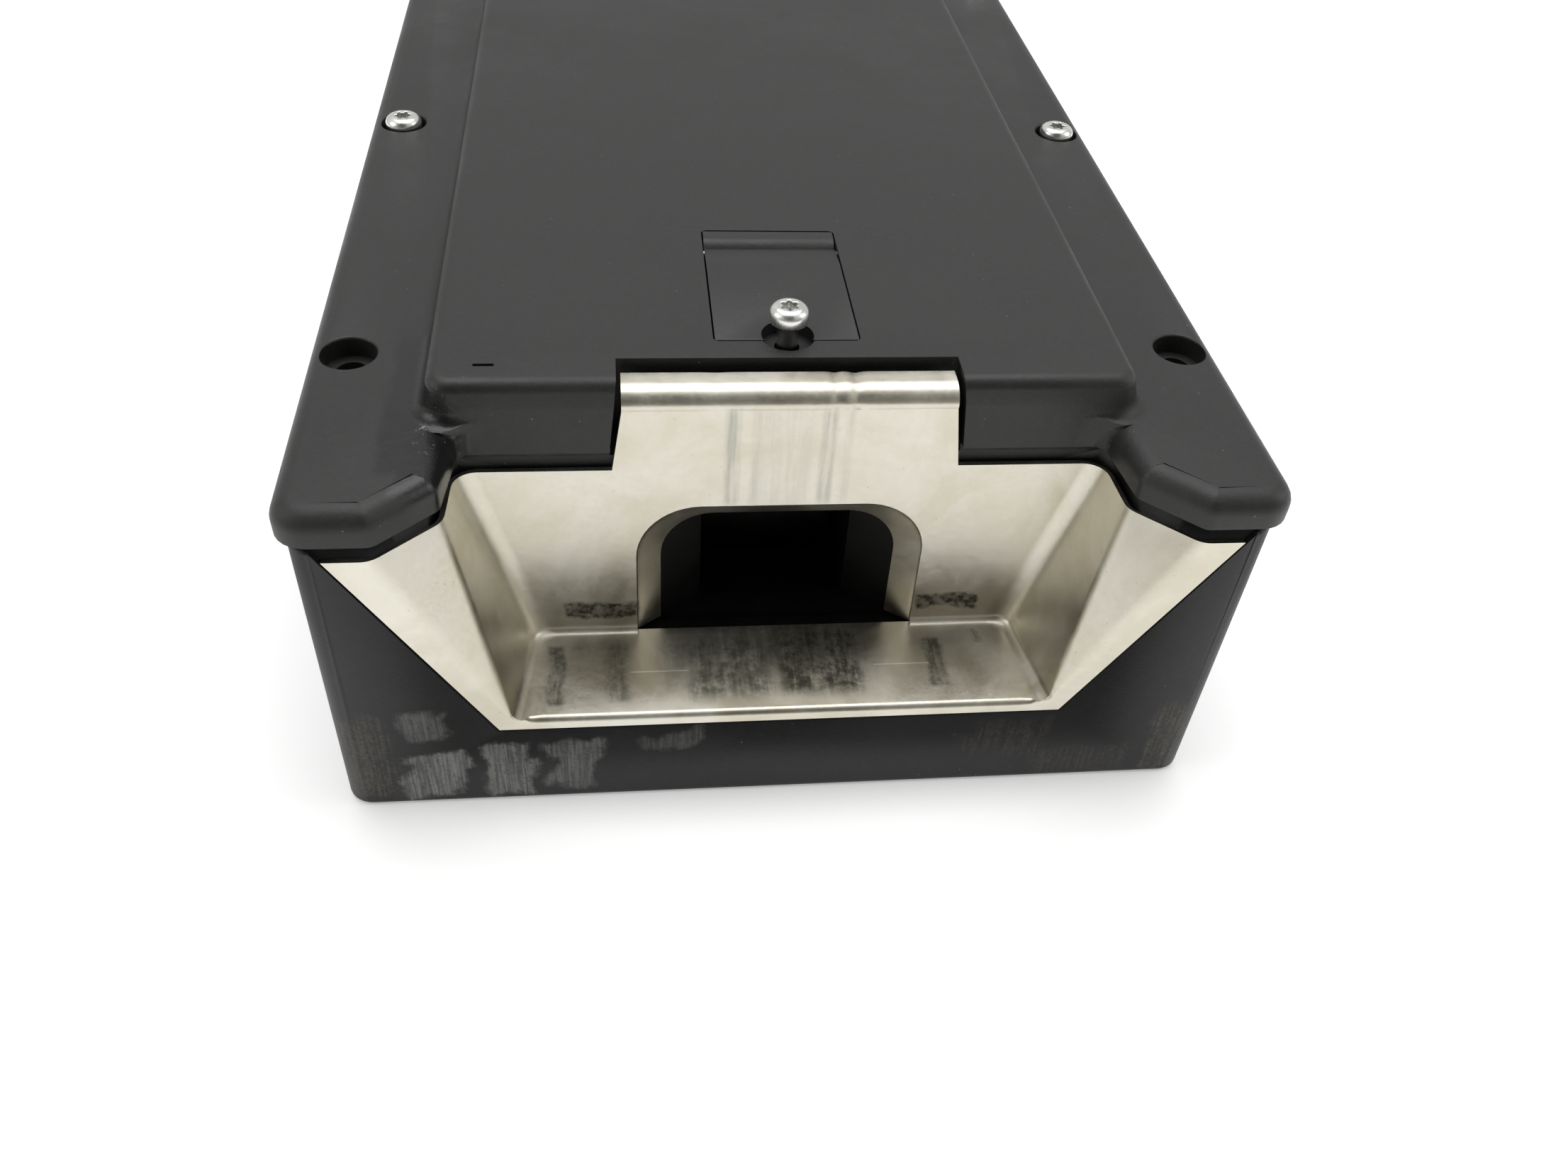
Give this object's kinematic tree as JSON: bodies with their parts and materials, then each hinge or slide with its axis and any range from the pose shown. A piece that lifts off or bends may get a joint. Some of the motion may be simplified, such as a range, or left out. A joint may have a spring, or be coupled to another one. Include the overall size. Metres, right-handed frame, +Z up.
{
  "type": "guard-locking safety interlock switch",
  "caption": "Long dark box with a pressed metal insertion funnel in its front, a screwed lid with a raised plateau and a small release flap, and a solenoid lock inside.",
  "frame": {"origin": "centre of the four fixing threads, on the underside", "axes": "+X right seen from the funnel end, +Y from the funnel end to the cable end, +Z up through the lid"},
  "size_m": [0.112, 0.19, 0.0573],
  "materials": {
    "housing": "fine moulded texture, worn",
    "lid": "satin, finely pitted",
    "funnel": "pressed sheet, dull nickel, scuffed",
    "black_plastic": "smooth moulded",
    "rubber": "matt",
    "zinc": "bright zinc plate",
    "steel": "milled",
    "brass": "turned",
    "wheel": "sintered, smooth",
    "bobbin": "natural nylon",
    "copper": "enamelled winding",
    "switch_red": "moulded",
    "button": "moulded",
    "board": "solder resist",
    "terminal": "moulded"
  },
  "bodies": {
    "housing": {"base_housing": "housing", "mounting_inserts": "brass", "lid_inserts": "brass", "lid_gasket": "rubber", "lid": "lid", "lid_screws": "zinc", "insertion_funnel": "funnel", "guide_channel": "black_plastic", "guide_screws": "steel", "flap_hinge_pin": "steel", "flap_strip": "lid", "flap_insert": "brass", "mechanism_chassis": "steel", "chassis_screws": "steel", "wheel_axle": "steel", "axle_clips": "steel", "lever_pin": "steel", "lever_clips": "steel", "lever_spring": "steel", "solenoid_frame": "steel", "solenoid_bobbin": "bobbin", "solenoid_coil": "copper", "solenoid_core": "steel", "door_switch": "switch_red", "lock_switch": "switch_red", "circuit_board": "board", "board_screws": "steel", "terminal_block": "terminal", "terminal_screws": "zinc", "earth_screw": "brass", "blanking_plug": "black_plastic", "plug_oring": "rubber"},
    "release_flap": {"release_flap": "lid"},
    "flap_screw": {"flap_screw": "zinc"},
    "release_shaft": {"release_shaft": "steel", "release_oring": "rubber", "release_clip": "steel"},
    "cam_wheel": {"cam_wheel": "wheel"},
    "lock_lever": {"lock_lever": "steel"},
    "solenoid_plunger": {"solenoid_plunger": "steel", "link_pin": "steel"},
    "door_switch_plunger": {"door_switch_plunger": "button"},
    "lock_switch_plunger": {"lock_switch_plunger": "button"}
  },
  "joints": [
    {"name": "flap_hinge", "type": "hinge", "parent": "housing", "child": "release_flap", "pos_m": [0.0002, -0.04635, 0.0522], "axis": [-1, 0, 0], "range_deg": [0, 100]},
    {"name": "flap_screw_travel", "type": "slide", "parent": "release_flap", "child": "flap_screw", "axis": [0, 0, -1], "range_m": [0, 0.0035]},
    {"name": "release_turn", "type": "hinge", "parent": "housing", "child": "release_shaft", "pos_m": [0.0002, -0.055, 0.045], "axis": [0, 0, 1], "range_deg": [0, 180]},
    {"name": "wheel_turn", "type": "hinge", "parent": "housing", "child": "cam_wheel", "pos_m": [0, -0.046, 0.022], "axis": [1, 0, 0], "range_deg": [0, 55]},
    {"name": "plunger_pull", "type": "slide", "parent": "housing", "child": "solenoid_plunger", "axis": [0, 1, 0], "range_m": [0, 0.003], "stiffness_N_per_m": 300, "springref_m": -0.002},
    {"name": "lever_turn", "type": "hinge", "parent": "housing", "child": "lock_lever", "pos_m": [0, -0.026, 0.013], "axis": [-1, 0, 0], "range_deg": [0, 11.47], "deforming": ["lever_spring"]},
    {"name": "lock_button_travel", "type": "slide", "parent": "housing", "child": "lock_switch_plunger", "axis": [0, 1, 0], "range_m": [0, 0.0017]},
    {"name": "door_button_travel", "type": "slide", "parent": "housing", "child": "door_switch_plunger", "axis": [0, 1, 0], "range_m": [0, 0.0026]}
  ],
  "couplings": [
    {"joint": "lever_turn", "follows": "plunger_pull", "rad_per_m": 66.667},
    {"joint": "lock_button_travel", "follows": "plunger_pull", "ratio": 0.555},
    {"joint": "door_button_travel", "follows": "wheel_turn", "m_per_rad": 0.0026044}
  ]
}
